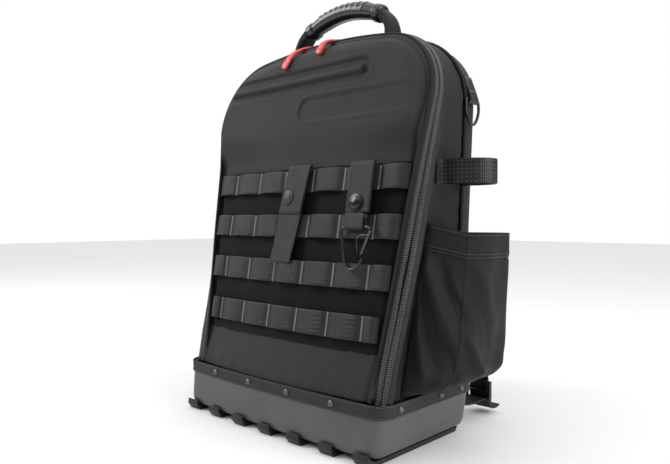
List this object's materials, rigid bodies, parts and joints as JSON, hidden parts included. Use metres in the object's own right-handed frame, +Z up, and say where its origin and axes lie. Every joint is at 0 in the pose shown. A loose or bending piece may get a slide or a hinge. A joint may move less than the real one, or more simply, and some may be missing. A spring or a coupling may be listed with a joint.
{
  "type": "tool backpack",
  "caption": "Black tool backpack with a moulded base tray, padded front shell with webbing rows, round zip opening, carry handle, side bottle pocket and padded shoulder straps.",
  "frame": {"origin": "middle of the base, on the ground under the middle foot", "axes": "+Z up, -Y the front face with the webbing rows, +Y towards the wearer's back, +X to the right seen from the front (the bottle pocket's side)"},
  "size_m": [0.3822, 0.249, 0.4885],
  "materials": {
    "shell_fabric": "dark grey fine woven fabric over a padded shell",
    "body_fabric": "black woven polyester",
    "webbing": "black satin webbing",
    "tray_plastic": "grey moulded plastic, satin",
    "black_rubber": "black rubber, satin",
    "zip_chain": "black zip teeth",
    "rivet_metal": "grey coated metal",
    "black_metal": "glossy black coated metal",
    "red_pull": "salmon red soft moulded zip pull",
    "black_plastic": "black moulded plastic"
  },
  "bodies": {
    "bag": {"base_tray": "tray_plastic", "foot_1": "black_rubber", "foot_2": "black_rubber", "foot_3": "black_rubber", "foot_4": "black_rubber", "foot_5": "black_rubber", "foot_6": "black_rubber", "foot_7": "black_rubber", "binding_tape": "webbing", "rivet_1": "rivet_metal", "rivet_2": "rivet_metal", "rivet_3": "rivet_metal", "rivet_4": "rivet_metal", "rivet_5": "rivet_metal", "rivet_6": "rivet_metal", "rivet_7": "rivet_metal", "rivet_8": "rivet_metal", "rivet_9": "rivet_metal", "rivet_10": "rivet_metal", "rivet_11": "rivet_metal", "rivet_12": "rivet_metal", "rivet_13": "rivet_metal", "rivet_14": "rivet_metal", "front_shell": "shell_fabric", "front_rib": "shell_fabric", "body_gusset": "body_fabric", "back_panel": "body_fabric", "zip": "zip_chain", "webbing_row_1": "webbing", "webbing_row_2": "webbing", "webbing_row_3": "webbing", "webbing_row_4": "webbing", "strap_left": "webbing", "strap_right": "webbing", "snap_left": "rivet_metal", "snap_right": "black_metal", "hook_loop": "webbing", "hook_frame": "black_metal", "handle_grip": "black_rubber", "handle_end_left": "body_fabric", "handle_end_right": "body_fabric", "slider_left": "black_metal", "pull_left": "red_pull", "slider_right": "black_metal", "pull_right": "red_pull", "side_pocket": "body_fabric", "elastic_strap": "webbing", "ring_tab_left": "webbing", "d_ring_left": "black_metal", "ring_tab_right": "webbing", "d_ring_right": "black_metal", "shoulder_strap_left": "body_fabric", "strap_webbing_left": "webbing", "ladder_lock_left": "black_plastic", "lower_tab_left": "webbing", "shoulder_strap_right": "body_fabric", "strap_webbing_right": "webbing", "ladder_lock_right": "black_plastic", "lower_tab_right": "webbing"},
    "gate": {"hook_gate": "black_metal"}
  },
  "joints": [
    {"name": "gate_hinge", "type": "hinge", "parent": "bag", "child": "gate", "pos_m": [0.1155, -0.04244, 0.21792], "axis": [0, 0.9833, -0.1822], "range_deg": [0, 12], "stiffness_Nm_per_rad": 0.02, "springref_deg": -17.19}
  ]
}
